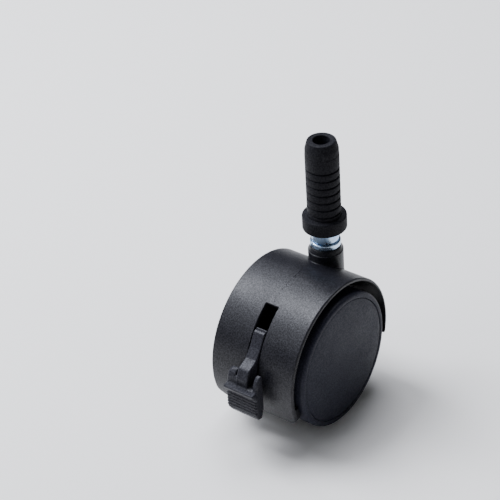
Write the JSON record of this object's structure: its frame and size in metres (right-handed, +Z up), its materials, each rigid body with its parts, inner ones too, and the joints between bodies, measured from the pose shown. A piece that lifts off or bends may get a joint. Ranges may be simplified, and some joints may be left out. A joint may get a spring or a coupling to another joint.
{
  "type": "chair caster wheel",
  "caption": "Twin-wheel chair caster with a hooded housing, foot brake lever, swivelling grip-neck stem and push-in leg sleeve.",
  "frame": {"origin": "on the floor, in the middle of the footprint", "axes": "+Z up along the swivel axis, +X towards the brake pedal, +Y along the axle towards the right wheel as seen facing the pedal"},
  "size_m": [0.0662, 0.0388, 0.0997],
  "materials": {
    "hood_plastic": "fine spark-eroded grain",
    "wheel_plastic": "satin nylon",
    "lever_plastic": "satin nylon",
    "sleeve_plastic": "smooth matt",
    "zinc_steel": "bright blue-white zinc plate",
    "spring_steel": "oiled spring steel"
  },
  "bodies": {
    "stem": {"swivel_stem": "zinc_steel", "socket_sleeve": "sleeve_plastic", "stem_snap_ring": "spring_steel"},
    "housing": {"hood_housing": "hood_plastic", "neck_bush": "zinc_steel", "axle_pin": "zinc_steel", "axle_clip_left": "spring_steel", "axle_clip_right": "spring_steel", "brake_pivot_pin": "zinc_steel", "detent_spring": "spring_steel"},
    "left_wheel": {"wheel_left": "wheel_plastic", "wheel_cover_left": "wheel_plastic"},
    "right_wheel": {"wheel_right": "wheel_plastic", "wheel_cover_right": "wheel_plastic"},
    "brake": {"brake_lever": "lever_plastic", "brake_bar": "zinc_steel"}
  },
  "joints": [
    {"name": "swivel", "type": "hinge", "parent": "stem", "child": "housing", "pos_m": [-0.02125, 0, 0.057], "axis": [0, 0, 1], "continuous": true},
    {"name": "left_wheel_spin", "type": "hinge", "parent": "housing", "child": "left_wheel", "pos_m": [-0.00325, -0.012, 0.025], "axis": [0, 1, 0], "continuous": true},
    {"name": "right_wheel_spin", "type": "hinge", "parent": "housing", "child": "right_wheel", "pos_m": [-0.00325, 0.012, 0.025], "axis": [0, 1, 0], "continuous": true},
    {"name": "brake_release", "type": "hinge", "parent": "housing", "child": "brake", "pos_m": [0.00575, 0, 0.024], "axis": [0, -1, 0], "range_deg": [0, 18]}
  ]
}
